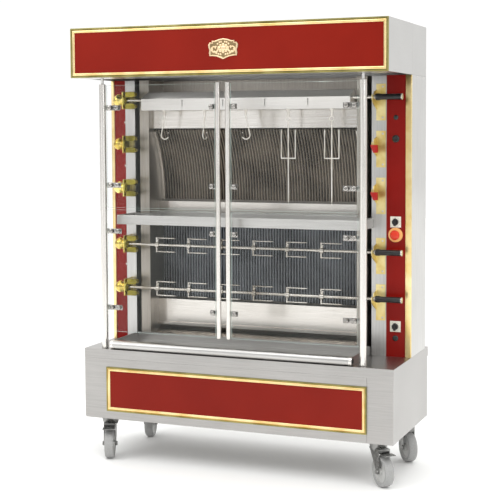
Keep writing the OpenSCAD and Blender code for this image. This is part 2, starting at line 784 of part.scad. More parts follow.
module rail_beam() {
    t = 2;
    z0 = z_rail - rail_drop;
    top_front = z_rail + rail_rise;
    top_back = top_front + rail_slope;
    front = y_spit - rail_front;
    back = y_spit + rail_back;
    color("silver") difference() {
        union() {
            difference() {
                profile_x(x_rail_l, rail_len,
                    [[front, z0], [back, z0], [back, top_back], [front, top_front]]);
                profile_x(x_rail_l + 3, rail_len - 6,
                    [[front + t, z0 + 3], [back - t, z0 + 3],
                        [back - t, top_back - 3], [front + t, top_front - 2]]);
            }
            // lugs that rest on the posts
            block([x_in_l - rail_seat, y_col - 24, z0], [x_rail_l + eps, y_col, z0 + 26]);
            block([x_rail_r - eps, y_col - 24, z0], [x_in_r + rail_seat, y_col, z0 + 26]);
        }
        // slots for greasing the gears
        for (i = [0:3]) translate([(hook_x[i] + hook_x[i + 1]) / 2, front, 0])
            block([-rail_slot_w / 2, -1, top_front - 34], [rail_slot_w / 2, t + 1, top_front - 6]);
        along_x(x_rail_l - 1, y_spit, z_rail, rail_shaft_dia / 2 + run_fit, rail_len + 2);
        for (x = hook_x) translate([x, y_spit, z0 - 1]) cylinder(r = spindle_dia / 2 + run_fit, h = 5);
    }
}

module rail_shaft() {
    color("silver") translate([0, y_spit, z_rail]) {
        along_x(x_lobe + 3 + free_gap, 0, 0, rail_shaft_dia / 2,
            x_rod_end + rod_grip - x_lobe - 3 - free_gap);
        for (x = hook_x) translate([x - gear_r - free_gap, 0, 0]) rotate([0, 90, 0])
            cylinder(r1 = gear_r, r2 = rail_shaft_dia / 2, h = gear_r - rail_shaft_dia / 2);
    }
}

module bend_part(r, wire, from, turn) {
    rotate([90, 0, 0]) rotate([0, 0, from]) rotate_extrude(angle = turn)
        translate([r, 0]) circle(d = wire, $fn = 20);
}

module hook(i) {
    z_gear = z_rail - gear_r - free_gap;
    collar_top = z_rail - rail_drop - free_gap;
    color("silver") translate([hook_x[i], y_spit, 0]) rotate([0, 0, hook_turns[i]]) {
        // bevel gear, spindle and collar
        translate([0, 0, z_gear - 5]) cylinder(r1 = gear_r - 5, r2 = gear_r, h = 5);
        translate([0, 0, z_spindle_end]) cylinder(d = spindle_dia, h = z_gear - z_spindle_end + eps);
        translate([0, 0, collar_top - 5]) cylinder(d = spindle_dia + 7, h = 5);
        translate([0, 0, z_spindle_end]) {
            if (i < 3) {
                lean = atan(hook_r / hook_drop);
                translate([0, 0, -hook_drop]) {
                    bend_part(hook_r, hook_wire, 180, 150);
                    rotate([0, 90 - 30, 0]) translate([0, 0, hook_r]) sphere(d = hook_wire, $fn = 20);
                }
                translate([-hook_r, 0, -hook_drop]) {
                    sphere(d = hook_wire, $fn = 20);
                    rotate([0, lean, 0]) cylinder(d = hook_wire, h = hook_drop / cos(lean), $fn = 20);
                }
            } else {
                translate([0, 0, -skewer_ring_r]) bend_part(skewer_ring_r, 3.6, 0, 360);
                translate([0, 0, -skewer_end])
                    cylinder(d = skewer_rod, h = skewer_end - skewer_top, $fn = 24);
                translate([0, 0, -skewer_end - 14])
                    cylinder(d1 = 1, d2 = skewer_rod, h = 14 + eps, $fn = 24);
                translate([-skewer_w / 2, 0, -skewer_bar]) rotate([0, 90, 0])
                    cylinder(d = skewer_rod - 1, h = skewer_w, $fn = 24);
                for (s = [-1, 1]) translate([s * skewer_w / 2, 0, -skewer_bar]) {
                    sphere(d = skewer_rod - 1, $fn = 24);
                    cylinder(d = skewer_rod - 1, h = skewer_rise, $fn = 24);
                    translate([0, 0, skewer_rise - eps])
                        cylinder(d1 = skewer_rod - 1, d2 = 1, h = 10, $fn = 24);
                }
            }
        }
    }
}

// ---------- doors ----------
function door_dir(side) = side == 0 ? 1 : -1;
clamp_offsets = [35, 69];
handle_clamp_offset = 29;
clamp_h = 28;
clamp_plate_t = 3;
bolt_dia = 8;

module glass_clamp(x, z) {
    along_y(x, y_door - glass_t / 2 - 6, z, clamp_dia / 2, 6);
    along_y(x, y_door - glass_t / 2 - eps, z, bolt_dia / 2, glass_t + 2 * eps);
}

// lugs behind the glass, from a tube axis to a reach along X
module clamp_lugs(x, reach) {
    y = y_door + glass_t / 2;
    for (z = clamp_z) block([x + min(0, reach), y, z - clamp_h / 2],
        [x + max(0, reach), y + clamp_plate_t, z + clamp_h / 2]);
}

module door_frame(side) {
    dir = door_dir(side);
    z0 = z_top + free_gap;
    handle_r = handle_tube_dia / 2;
    z_handle_low = z_glass_low - 2;
    far = clamp_offsets[1] + 15;
    color("silver") {
        // pivot tube with pin bores and welded lugs
        difference() {
            union() {
                translate([x_pivot[side], y_door, z0]) cylinder(d = pivot_dia, h = z_door_top - z0);
                clamp_lugs(x_pivot[side], dir * far);
            }
            translate([x_pivot[side], y_door, z0 - 1])
                cylinder(r = pivot_pin_dia / 2 + run_fit, h = z_door_top - z0 + 2);
            translate([x_pivot[side], y_door, z0 + pin_engage + pin_slack])
                cylinder(r = pivot_dia / 2 - tube_wall, h = z_door_top - z0 - 2 * (pin_engage + pin_slack));
        }
        for (z = clamp_z) for (o = clamp_offsets) glass_clamp(x_pivot[side] + dir * o, z);
        // handle tube, closed at the top
        difference() {
            union() {
                translate([x_handle[side], y_door, z_handle_low])
                    cylinder(r = handle_r, h = z_door_top - z_handle_low);
                clamp_lugs(x_handle[side], -dir * (handle_clamp_offset + 12));
            }
            translate([x_handle[side], y_door, z_handle_low - 1])
                cylinder(r = handle_r - tube_wall, h = z_door_top - z_handle_low - 4);
        }
        for (z = clamp_z) glass_clamp(x_handle[side] - dir * handle_clamp_offset, z);
    }
}

module door_glass(side) {
    dir = door_dir(side);
    xa = x_pivot[side] + dir * pivot_glass_gap;
    xb = x_handle[side] - dir * handle_glass_gap;
    hole_r = bolt_dia / 2;
    panes = [[z_glass_low, z_split - glass_split / 2], [z_split + glass_split / 2, z_door_top - 5]];
    color("lightblue", 0.4) difference() {
        for (p = panes)
            block([min(xa, xb), y_door - glass_t / 2, p[0]], [max(xa, xb), y_door + glass_t / 2, p[1]]);
        for (z = clamp_z) {
            for (o = clamp_offsets)
                along_y(x_pivot[side] + dir * o, y_door - glass_t, z, hole_r, 2 * glass_t);
            along_y(x_handle[side] - dir * handle_clamp_offset, y_door - glass_t, z, hole_r, 2 * glass_t);
        }
    }
}

// ---------- controls ----------
ring_t = 8;
start_ring_r = 15;
start_r = 11;
module control_bezels() {
    color("ivory") {
        for (z = [upper_selector_z, lower_selector_z]) difference() {
            block([x_control - plate_w / 2, y_panel - 2, z - plate_w / 2],
                [x_control + plate_w / 2, y_panel, z + plate_w / 2]);
            along_y(x_control, y_panel - 3, z, stem_dia / 2 + run_fit, 4);
        }
        difference() {
            along_y(x_control, y_panel - ring_t, estop_z, ring_r, ring_t);
            along_y(x_control, y_panel - ring_t - 1, estop_z, stem_dia / 2 + run_fit, ring_t + 2);
        }
        difference() {
            along_y(x_control, y_panel - 5, start_z, start_ring_r, 5);
            along_y(x_control, y_panel - 6, start_z, start_r + run_fit, 7);
        }
        // lamps with their lenses
        along_y(x_control, y_panel - 5, lamp_z, 10, 5);
        along_y(x_control, y_panel - 5, spot_z, 12, 5);
    }
}

module selector(z) {
    color("black") translate([x_control, 0, z]) {
        along_y(0, y_panel - 2 - free_gap - 12, 0, knob_dia / 2, 12);
        block([-5, y_panel - 2 - free_gap - 20, -knob_dia / 2 - 2],
            [5, y_panel - 2 - free_gap - 6, knob_dia / 2 + 2]);
        along_y(0, y_panel - 4, 0, stem_dia / 2, 12);
    }
}

module emergency_button() {
    head_back = y_panel - ring_t - estop_travel - 1;
    color("orangered") {
        along_y(x_control, head_back - 7, estop_z, estop_dia / 2, 7);
        along_y(x_control, head_back - 11, estop_z, estop_dia / 2 - 5, 4 + eps);
        along_y(x_control, head_back - eps, estop_z, stem_dia / 2, y_panel + 12 - head_back);
    }
}

module start_button() {
    color("dimgray") {
        along_y(x_control, y_panel - 4 - start_travel, start_z, start_r, 3.5 + start_travel);
        along_y(x_control, y_panel - 1, start_z, stem_dia / 2, 13);
    }
}

// ---------- casters ----------
module at_caster(i) {
    translate([caster_at[i][0], caster_at[i][1], 0]) rotate([0, 0, trail_turns[i]]) children();
}

module leg_outline() {
    polygon([[leg_back, z_bridge + 8], [48, z_bridge + 8], [trail + 11, rad], [trail - 11, rad]]);
    translate([trail, rad]) circle(r = 11);
}

module swivel(i) {
    half = fork_in + fork_t;
    color("lightgray") at_caster(i) difference() {
        union() {
            translate([0, 0, z_bridge]) cylinder(r1 = 31, r2 = head_top_r, h = z_swivel - z_bridge);
            block([leg_back, -half, z_bridge], [48, half, z_bridge + 8]);
            for (y = [fork_in + fork_t, -fork_in]) translate([0, y, 0]) rotate([90, 0, 0])
                linear_extrude(fork_t) leg_outline();
            along_y(trail, -half - 6, rad, 9, 6 + eps);
            along_y(trail, half - eps, rad, 9, 6 + eps);
            along_y(trail, -half, rad, axle_dia / 2, 2 * half);
        }
        translate([0, 0, z_bridge - 1]) cylinder(r = kingpin_dia / 2 + run_fit, h = z_swivel - z_bridge + 2);
        if (i < 2) along_y(pedal_at[0], -half - 1, pedal_at[1], pedal_pin / 2 + run_fit, 2 * half + 2);
    }
}

module wheel(i) {
    bore = axle_dia / 2 + run_fit;
    hub = wheel_w / 2 + 2;
    side = wheel_w / 2;
    color("darkgray") at_caster(i) translate([trail, 0, rad]) rotate([90, 0, 0])
        rotate_extrude($fn = 96) polygon([
            [bore, -hub], [14, -hub], [14, -12], [rad - 18, -12], [rad - 16, -side], [rad - 5, -side],
            [rad - 1, 4 - side], [rad, 9 - side], [rad, side - 9], [rad - 1, side - 4],
            [rad - 5, side], [rad - 16, side], [rad - 18, 12], [14, 12], [14, hub], [bore, hub]]);
}

module brake(i) {
    reach = 62;
    inner = fork_in - 0.5;
    color("dimgray") at_caster(i) translate([pedal_at[0], 0, pedal_at[1]]) {
        along_y(0, -fork_in - fork_t, 0, pedal_pin / 2, 2 * (fork_in + fork_t));
        along_y(0, -inner, 0, 5.5, 2 * inner);
        block([2, -inner + 4, -1.5], [reach - 30, inner - 4, 1.5]);
        block([reach - 34, -26, -1.5], [reach, 26, 1.5]);
    }
}

// ---------- assembly ----------
base_cabinet();
base_top_plate();
base_front_fascia();
base_red_panel();
caster_plates();
hood_shell();
hood_rear_housing();
hood_red_panel();
hood_emblem();
brass_mouldings();
left_column();
right_column();
column_red_panels();
rear_panel();
spit_brackets();
panel_screws();
chamber_frame();
reflector_sheets();
rib_plates();
gas_burners();
middle_drip_tray();
bottom_drip_tray();
drive_heads();
spit_gearmotors();
for (i = [0:4]) fork(i);
for (i = [3, 4]) spit(i);
for (i = [0, 3, 4]) handle(i);
rail_beam();
rail_shaft();
for (i = [0:4]) hook(i);
door_frame(0);  // door_left_frame
door_glass(0);  // door_left_glass
door_frame(1);  // door_right_frame
door_glass(1);  // door_right_glass
control_bezels();
selector(upper_selector_z);  // upper_selector
selector(lower_selector_z);  // lower_selector
emergency_button();
start_button();
for (i = [0:3]) swivel(i);
for (i = [0:3]) wheel(i);
for (i = [0, 1]) brake(i);
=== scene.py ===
import json
import math

import bmesh
import bpy
from mathutils import Matrix, Vector


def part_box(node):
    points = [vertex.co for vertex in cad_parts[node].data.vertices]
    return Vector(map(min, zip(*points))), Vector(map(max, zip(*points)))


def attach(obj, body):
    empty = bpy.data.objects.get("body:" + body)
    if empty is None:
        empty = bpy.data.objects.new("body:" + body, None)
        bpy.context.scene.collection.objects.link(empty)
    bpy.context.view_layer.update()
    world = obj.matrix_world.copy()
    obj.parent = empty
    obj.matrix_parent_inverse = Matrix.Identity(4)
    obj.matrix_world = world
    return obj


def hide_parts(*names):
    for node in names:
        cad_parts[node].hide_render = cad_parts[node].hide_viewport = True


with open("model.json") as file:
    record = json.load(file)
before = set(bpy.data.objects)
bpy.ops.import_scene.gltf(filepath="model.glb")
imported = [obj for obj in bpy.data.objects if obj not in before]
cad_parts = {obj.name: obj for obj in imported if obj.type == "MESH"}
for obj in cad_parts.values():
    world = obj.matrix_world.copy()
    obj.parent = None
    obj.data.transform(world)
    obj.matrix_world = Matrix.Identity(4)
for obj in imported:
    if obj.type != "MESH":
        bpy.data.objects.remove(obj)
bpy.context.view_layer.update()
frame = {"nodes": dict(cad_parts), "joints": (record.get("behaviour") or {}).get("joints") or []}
MM = 0.001


# ---------- Studio ----------
# A pale seamless floor, soft boxes high on both sides and overhead, a dim one in front that the
# flat steel faces mirror, a slim one under the hood, and a long lens above the middle of the oven.
def linear(code):
    parts = [int(code[i:i + 2], 16) / 255 for i in (1, 3, 5)]
    return [p / 12.92 if p <= 0.04045 else ((p + 0.055) / 1.055) ** 2.4 for p in parts] + [1.0]


def add_node(material, kind, settings, output=0):
    """Adds a shader node, sets or links its inputs, and gives back one of its outputs."""
    node = material.node_tree.nodes.new("ShaderNode" + kind)
    for key, value in settings.items():
        if key == "stops":
            for element, (place, code) in zip(node.color_ramp.elements, value):
                element.position, element.color = place, linear(code)
        elif isinstance(value, bpy.types.NodeSocket):
            material.node_tree.links.new(value, node.inputs[key])
        elif isinstance(key, int) or key in node.inputs:
            node.inputs[key].default_value = value
        else:
            setattr(node, key, value)
    return node.outputs[output]


def new_finish(name, settings):
    finish = bpy.data.materials.new(name)
    finish.use_nodes = True
    shader = finish.node_tree.nodes["Principled BSDF"]
    for key, value in settings.items():
        shader.inputs[key].default_value = value
    return finish, shader


scene = bpy.context.scene
scene.view_settings.view_transform = "Standard"
camera = bpy.data.objects.new("camera", bpy.data.cameras.new("camera"))
camera.location = (1.9434, -4.8037, 1.4244)
turn, dip, roll = (math.radians(angle) for angle in (22.109, 3.604, -0.273))
camera.rotation_euler = (Matrix.Rotation(turn, 4, "Z") @ Matrix.Rotation(math.pi / 2 - dip, 4, "X")
                         @ Matrix.Rotation(roll, 4, "Z")).to_euler()
camera.data.lens = 87.93
camera.data.shift_y = -0.09
scene.collection.objects.link(camera)
scene.camera = camera

# white behind and above the oven, a dimmer room to the front and the sides
paper_white = "#FBFBFA"
world = bpy.data.worlds.new("studio")
world.use_nodes = True
aim = add_node(world, "TexCoord", {}, "Generated")
behind = add_node(world, "MapRange", {
    "Value": add_node(world, "SeparateXYZ", {0: aim}, "Y"),
    "From Min": 0.0, "From Max": 0.7, "To Min": 0.55, "To Max": 1.08})
above = add_node(world, "MapRange", {
    "Value": add_node(world, "SeparateXYZ", {0: aim}, "Z"), "From Min": 0.3, "From Max": 0.9})
room = add_node(world, "Math", {"operation": "ADD", 0: behind, 1: above})
backdrop = world.node_tree.nodes["Background"]
backdrop.inputs["Color"].default_value = linear(paper_white)
world.node_tree.links.new(room, backdrop.inputs["Strength"])
scene.world = world

aim_at = Vector((0, 0, 1.0))
for name, spot, size, power in (
        ("key_left", (-3.2, -3.0, 3.6), 1.8, 34), ("fill_right", (3.8, -2.4, 2.6), 1.6, 26),
        ("overhead", (0.0, -2.2, 4.6), 3.0, 50), ("front_wall", (-2.3, -4.9, 1.5), 1.8, 6),
        ("under_hood", (-0.02, -0.12, 1.62), 0.9, 0.5)):
    light = bpy.data.lights.new(name, "AREA")
    light.energy, light.size = power, size
    if name == "under_hood":
        light.shape, light.size_y = "RECTANGLE", 0.04
    lamp = bpy.data.objects.new(name, light)
    lamp.location = spot
    lamp.rotation_euler = (aim_at - Vector(spot)).to_track_quat("-Z", "Y").to_euler()
    scene.collection.objects.link(lamp)

floor_bm = bmesh.new()
bmesh.ops.create_grid(floor_bm, x_segments=1, y_segments=1, size=14.0)
floor_mesh = bpy.data.meshes.new("floor")
floor_bm.to_mesh(floor_mesh)
floor_bm.free()
floor = bpy.data.objects.new("floor", floor_mesh)
scene.collection.objects.link(floor)
floor_paper = new_finish("pale floor paper", {"Base Color": linear(paper_white), "Roughness": 0.8})[0]
floor_mesh.materials.append(floor_paper)


# ---------- Brushed sheet ----------
# The cabinet, columns, hood, posts and trays are 2 mm stainless sheet, cut, folded and welded, with
# a satin brushed face. The folds have a small radius that catches a bright line.
def feed(finish, shader, links):
    for key, socket in links.items():
        finish.node_tree.links.new(socket, shader.inputs[key])


def brushed_steel(name, grain, pale="#E4E3E1", dark="#C6C5C3", roughness=0.32):
    """Brushed stainless: real grain is 0.2 mm wide, drawn about 3 mm wide so that it shows."""
    finish, shader = new_finish(name, {"Metallic": 1.0})
    place = add_node(finish, "TexCoord", {}, "Object")
    along = add_node(finish, "Mapping", {"Vector": place, "Scale": grain})
    lines = add_node(finish, "TexNoise", {"Vector": along, "Scale": 1.0, "Detail": 3.0})
    cloud = add_node(finish, "TexNoise", {"Vector": place, "Scale": 2.4, "Detail": 2.0})
    both = add_node(finish, "Math", {"operation": "MULTIPLY", 0: lines, 1: 0.55})
    both = add_node(finish, "Math", {"operation": "MULTIPLY_ADD", 0: cloud, 1: 0.45, 2: both})
    feed(finish, shader, {
        "Base Color": add_node(finish, "ValToRGB", {0: both, "stops": ((0.3, dark), (0.7, pale))}),
        "Roughness": add_node(finish, "MapRange", {
            "Value": lines, "To Min": roughness - 0.06, "To Max": roughness + 0.07}),
        "Normal": add_node(finish, "Bump", {"Height": lines, "Strength": 0.05, "Distance": 0.4 * MM})})
    return finish


def dress(node, finish, edge=0.0):
    """Gives a part its finish, and rounds its folds where edge is set."""
    part = frame["nodes"][node]
    part.data.materials.clear()
    part.data.materials.append(finish)
    if edge:
        weld = part.modifiers.new("weld", "WELD")
        weld.merge_threshold = 0.01 * MM
        bevel = part.modifiers.new("folds", "BEVEL")
        bevel.width, bevel.segments, bevel.limit_method = edge, 2, "ANGLE"
        bevel.angle_limit = math.radians(50)
        bevel.use_clamp_overlap = True


# grains and patches are counted per metre: 3 mm across the grain, and 140 mm along it
grain_x = (7, 330, 330)
grain_z = (330, 330, 7)
fold_r = 1.2 * MM
thin_fold_r = 1.0 * MM
wide_steel = brushed_steel("brushed stainless, grain along the width", grain_x, "#D4D3D1", "#B6B5B3")
tall_steel = brushed_steel("brushed stainless, grain upright", grain_z, "#DAD9D7", "#B9B8B6")
# painted shade: the base is a darker copy of the same brushed stainless
shaded_base_steel = brushed_steel("brushed stainless, painted darker as shade", grain_x, "#B9B7B5", "#A3A19F")
for node in ("base_cabinet", "base_front_fascia", "base_top_plate"):
    dress(node, shaded_base_steel, fold_r)
for node in ("hood_shell", "hood_rear_housing"):
    dress(node, wide_steel, fold_r)
for node in ("left_column", "right_column", "rear_panel"):
    dress(node, tall_steel, fold_r)


# ---------- Chamber ----------
# The frame of square posts with its side sheets, shelf and roof is duller than the outside, from heat and
# cleaning, and is painted darker as the shade inside the chamber. The reflector and the hook rail stay
# brighter, and the burners have scaled.
def mottled(name, settings, per_metre, detail, stops):
    """A finish that wanders between two shades, in so many patches to the metre."""
    finish, shader = new_finish(name, settings)
    place = add_node(finish, "TexCoord", {}, "Object")
    cloud = add_node(finish, "TexNoise", {"Vector": place, "Scale": per_metre, "Detail": detail})
    feed(finish, shader, {"Base Color": add_node(finish, "ValToRGB", {0: cloud, "stops": stops})})
    return finish


# heat tint, and painted shade: the frame is a darker copy of the stainless for the shade inside the chamber
heat_tint_and_shade_steel = brushed_steel("heat-dulled stainless, painted darker as chamber shade", grain_z, "#BFB9B1", "#948D85", 0.38)
dress("chamber_frame", heat_tint_and_shade_steel, thin_fold_r)
bright_steel = brushed_steel("bright rolled stainless", grain_x, "#EDEAE6", "#CFC9C2", 0.2)
dress("reflector_sheets", bright_steel)
satin_steel = brushed_steel("satin rolled stainless", grain_x, "#F3F1EE", "#DDDAD6", 0.42)
dress("rail_beam", satin_steel, thin_fold_r)
dress("middle_drip_tray", wide_steel, thin_fold_r)
dress("gas_burners", mottled("scaled burner tube", {"Metallic": 0.8, "Roughness": 0.55}, 90.0, 4.0,
                             ((0.35, "#3E3A37"), (0.65, "#7C746C"))))


# ---------- Radiant plates ----------
# Cast ribbed plates behind the spits, glowing in use. Heat has browned the upper one and left the
# lower one a cooler grey, and the rib crests are painted paler as a painted highlight.
cast_iron, shader = new_finish("heat-stained cast iron, crests painted light", {"Metallic": 0.75, "Roughness": 0.5})
place = add_node(cast_iron, "TexCoord", {}, "Object")
upper = add_node(cast_iron, "MapRange", {
    "Value": add_node(cast_iron, "SeparateXYZ", {0: place}, "Z"), "From Min": 1.0, "From Max": 1.06})
stain = add_node(cast_iron, "TexNoise", {"Vector": place, "Scale": 7.0, "Detail": 5.0})
rib_lo, rib_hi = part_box("rib_plates")
pitch = 13 * MM
ribs = math.floor((rib_hi.x - rib_lo.x - pitch / 2) / pitch)
first_rib = rib_lo.x + (rib_hi.x - rib_lo.x - ribs * pitch) / 2
# the distance from the middle of a rib, in pitches, counted from a place left of the first rib
across = add_node(cast_iron, "SeparateXYZ", {0: place}, "X")
across = add_node(cast_iron, "Math", {"operation": "SUBTRACT", 0: across, 1: first_rib - 5 * pitch})
across = add_node(cast_iron, "Math", {"operation": "DIVIDE", 0: across, 1: pitch})
across = add_node(cast_iron, "Math", {"operation": "PINGPONG", 0: across, 1: 0.5})
# painted highlight: the crest of each rib is painted paler, as light catching it
crest_highlight = add_node(cast_iron, "MapRange", {"Value": across, "From Min": 0.2, "From Max": 0.3})
# the tone mixes the random stain with the painted crest highlight
stain_and_crest_highlight = add_node(cast_iron, "Math", {"operation": "MULTIPLY_ADD", 0: crest_highlight, 1: 0.5, 2: stain})
stain_and_crest_highlight = add_node(cast_iron, "Math", {"operation": "MULTIPLY", 0: stain_and_crest_highlight, 1: 0.8})
brown = add_node(cast_iron, "ValToRGB", {0: stain_and_crest_highlight, "stops": ((0.3, "#191511"), (0.85, "#8E8376"))})
blue = add_node(cast_iron, "ValToRGB", {0: stain_and_crest_highlight, "stops": ((0.3, "#15161A"), (0.85, "#83878D"))})
# sand grit of 2 mm, coarser than the real 0.3 mm so that it shows
grit = add_node(cast_iron, "TexNoise", {"Vector": place, "Scale": 450.0, "Detail": 2.0})
feed(cast_iron, shader, {
    "Base Color": add_node(cast_iron, "Mix", {"data_type": "RGBA", 0: upper, 6: blue, 7: brown}, 2),
    "Normal": add_node(cast_iron, "Bump", {"Height": grit, "Strength": 0.12, "Distance": 0.4 * MM})})
dress("rib_plates", cast_iron)


# ---------- Enamelled panels ----------
# Steel panels fired with a deep red vitreous enamel: thick and glassy, with a faint orange peel
# and a shade that pools deeper in places.
def enamel(name, deep, bright):
    finish, shader = new_finish(name, {"Roughness": 0.32, "IOR": 1.45, "Specular IOR Level": 0.2})
    place = add_node(finish, "TexCoord", {}, "Object")
    pool = add_node(finish, "TexNoise", {"Vector": place, "Scale": 3.0, "Detail": 3.0})
    peel = add_node(finish, "TexNoise", {"Vector": place, "Scale": 70.0, "Detail": 1.0})
    feed(finish, shader, {
        "Base Color": add_node(finish, "ValToRGB", {0: pool, "stops": ((0.25, deep), (0.75, bright))}),
        "Normal": add_node(finish, "Bump", {"Height": peel, "Strength": 0.06, "Distance": 0.5 * MM})})
    return finish


oxblood = enamel("oxblood vitreous enamel", "#7A1305", "#891A0A")
cherry = enamel("cherry vitreous enamel", "#7A0C06", "#8E140C")
for node in ("base_red_panel", "hood_red_panel"):
    dress(node, oxblood)
dress("column_red_panels", cherry)


# ---------- Brass mouldings ----------
# Drawn brass sections, mitred at the corners and screwed from behind: a flat outer fillet that has
# darkened, a quirk, and a polished half-round bead next to the enamel.
def brass(name, pale, dark, roughness):
    finish, shader = new_finish(name, {"Metallic": 1.0})
    place = add_node(finish, "TexCoord", {}, "Object")
    tarnish = add_node(finish, "TexNoise", {"Vector": place, "Scale": 14.0, "Detail": 4.0})
    feed(finish, shader, {
        "Base Color": add_node(finish, "ValToRGB", {0: tarnish, "stops": ((0.3, dark), (0.65, pale))}),
        "Roughness": add_node(finish, "MapRange", {
            "Value": tarnish, "To Min": roughness - 0.05, "To Max": roughness + 0.12})})
    return finish


def make_piece(name, bm, finishes, body, stands_for=(), crease=32):
    """Closes a bmesh into a piece at the origin, riding on a body."""
    bmesh.ops.recalc_face_normals(bm, faces=bm.faces)
    mesh = bpy.data.meshes.new(name)
    bm.to_mesh(mesh)
    bm.free()
    for finish in finishes:
        mesh.materials.append(finish)
    mesh.shade_smooth()
    mesh.set_sharp_from_angle(angle=math.radians(crease))
    piece = bpy.data.objects.new(name, mesh)
    scene.collection.objects.link(piece)
    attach(piece, body)
    if stands_for:
        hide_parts(*stands_for)
    return piece


def made_since(bm, old):
    return [v for v in bm.verts if v not in old]


def add_frame_moulding(bm, lo, hi, y, section):
    """Sweeps a closed section (inward, outward) round a rectangle, with mitred corners."""
    corners = ((lo[0], lo[1], 1, 1), (hi[0], lo[1], -1, 1), (hi[0], hi[1], -1, -1), (lo[0], hi[1], 1, -1))
    loops = []
    for x, z, right, up in corners:
        ring = [bm.verts.new((x + right * u, y - v, z + up * u)) for u, v in section]
        loops.append([bm.edges.new((a, b)) for a, b in zip(ring, ring[1:] + ring[:1])])
    for a, b in zip(loops, loops[1:] + loops[:1]):
        bmesh.ops.bridge_loops(bm, edges=a + b)


def moulding_section(width, thick):
    bead = width * 0.62
    fillet = width - bead
    arc = [(fillet + bead / 2 - bead / 2 * math.cos(a), 0.35 * thick + 0.65 * thick * math.sin(a))
           for a in (math.pi * k / 10 for k in range(11))]
    flat = [(0, 0), (0, 0.72 * thick), (0.3 * fillet, 0.8 * thick), (0.85 * fillet, 0.8 * thick)]
    return flat + arc + [(width, 0)]


bright_brass = brass("polished brass", "#FBE9B4", "#EBCB82", 0.3)
aged_brass = brass("tarnished brass", "#A9A068", "#7D7642", 0.42)
panel_box, hood_panel_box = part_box("base_red_panel"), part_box("hood_red_panel")
bm = bmesh.new()
for panel, width, thick in ((panel_box, 18 * MM, 7 * MM), (hood_panel_box, 20 * MM, 8 * MM)):
    lo, hi = panel
    add_frame_moulding(bm, (lo.x - width, lo.z - width), (hi.x + width, hi.z + width), hi.y,
                       moulding_section(width, thick))
above_base = 1.0
fillet_reach = 12.5 * MM
for face in bm.faces:
    centre = face.calc_center_median()
    lo, hi = panel_box if centre.z < above_base else hood_panel_box
    outside = max(lo.x - centre.x, centre.x - hi.x, lo.z - centre.z, centre.z - hi.z)
    face.material_index = 1 if outside > fillet_reach else 0
make_piece("panel_mouldings", bm, (bright_brass, aged_brass), "oven", ("brass_mouldings",))


# ---------- Column strips ----------
# Flat drawn brass bars with eased edges, screwed from behind, which close the outer edge of each
# enamelled strip.
def add_block(bm, lo, hi, radius=0.0, segments=2):
    old = set(bm.verts)
    bmesh.ops.create_cube(bm, size=1.0)
    made = made_since(bm, old)
    bmesh.ops.scale(bm, vec=Vector(hi) - Vector(lo), verts=made)
    bmesh.ops.translate(bm, vec=(Vector(hi) + Vector(lo)) / 2, verts=made)
    if radius:
        edges = list({e for v in made for e in v.link_edges})
        bmesh.ops.bevel(bm, geom=edges, offset=radius, offset_type="OFFSET", affect="EDGES",
                        segments=segments, profile=0.5, material=-1, clamp_overlap=True)
    return made_since(bm, old)


left_column, right_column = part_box("left_column"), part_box("right_column")
strip_thick, strip_edge_r = 6 * MM, 2.2 * MM
left_strip_w, right_strip_w = 15 * MM, 26 * MM
front_y, foot, top = left_column[0].y, left_column[0].z, left_column[1].z
bm = bmesh.new()
for x, width in ((left_column[0].x, left_strip_w), (right_column[1].x - right_strip_w, right_strip_w)):
    add_block(bm, (x, front_y - strip_thick, foot), (x + width, front_y, top), strip_edge_r, 3)
make_piece("column_strips", bm, (bright_brass,), "oven")


# ---------- Hood cartouche ----------
# A cast brass plaque pinned to the enamel: notched corners, a pointed foot, a raised rim, and a
# plain oval between petals and beaded scrolls on the sunk ground.
emblem_lo, emblem_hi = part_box("hood_emblem")
emblem_mid = (emblem_lo + emblem_hi) / 2
emblem_half = (emblem_hi - emblem_lo) / 2
cast_brass, shader = new_finish("satin cast brass, dark in the ground", {"Metallic": 1.0, "Roughness": 0.38})
place = add_node(cast_brass, "TexCoord", {}, "Object")
relief = add_node(cast_brass, "MapRange", {
    "Value": add_node(cast_brass, "SeparateXYZ", {0: place}, "Y"),
    "From Min": emblem_hi.y - 1.1 * emblem_half.y, "From Max": emblem_hi.y - 0.3 * emblem_half.y,
    "To Min": 1.0, "To Max": 0.0})
feed(cast_brass, shader, {"Base Color": add_node(cast_brass, "ValToRGB", {
    0: relief, "stops": ((0.25, "#6E5A30"), (0.8, "#F4D9B2"))})})
# the outline, the petals and the beads are in half widths and half heights of the plaque
right_edge = [(0, 0.98), (0.3, 0.9), (0.56, 0.76), (0.74, 0.78), (0.74, 0.6), (0.88, 0.62), (0.98, 0.4),
              (0.96, 0.15), (0.9, -0.1), (0.93, -0.4), (0.9, -0.66), (0.7, -0.66), (0.42, -0.72),
              (0.18, -0.86), (0, -0.98)]
left_edge = [(-x, z) for x, z in right_edge[-2:0:-1]]
bm = bmesh.new()
plaque = bm.faces.new([bm.verts.new((x, z, 0)) for x, z in right_edge + left_edge])
rim = bmesh.ops.extrude_face_region(bm, geom=[plaque])["geom"]
bmesh.ops.translate(bm, vec=(0, 0, 0.4), verts=[g for g in rim if isinstance(g, bmesh.types.BMVert)])
for inset, rise in ((0.035, 0.2), (0.06, 0.0), (0.035, -0.3)):
    top = max(bm.faces, key=lambda f: (f.calc_center_median().z, f.calc_area()))
    bmesh.ops.inset_region(bm, faces=[top], thickness=inset, depth=0.0)
    bmesh.ops.translate(bm, vec=(0, 0, rise), verts=top.verts)
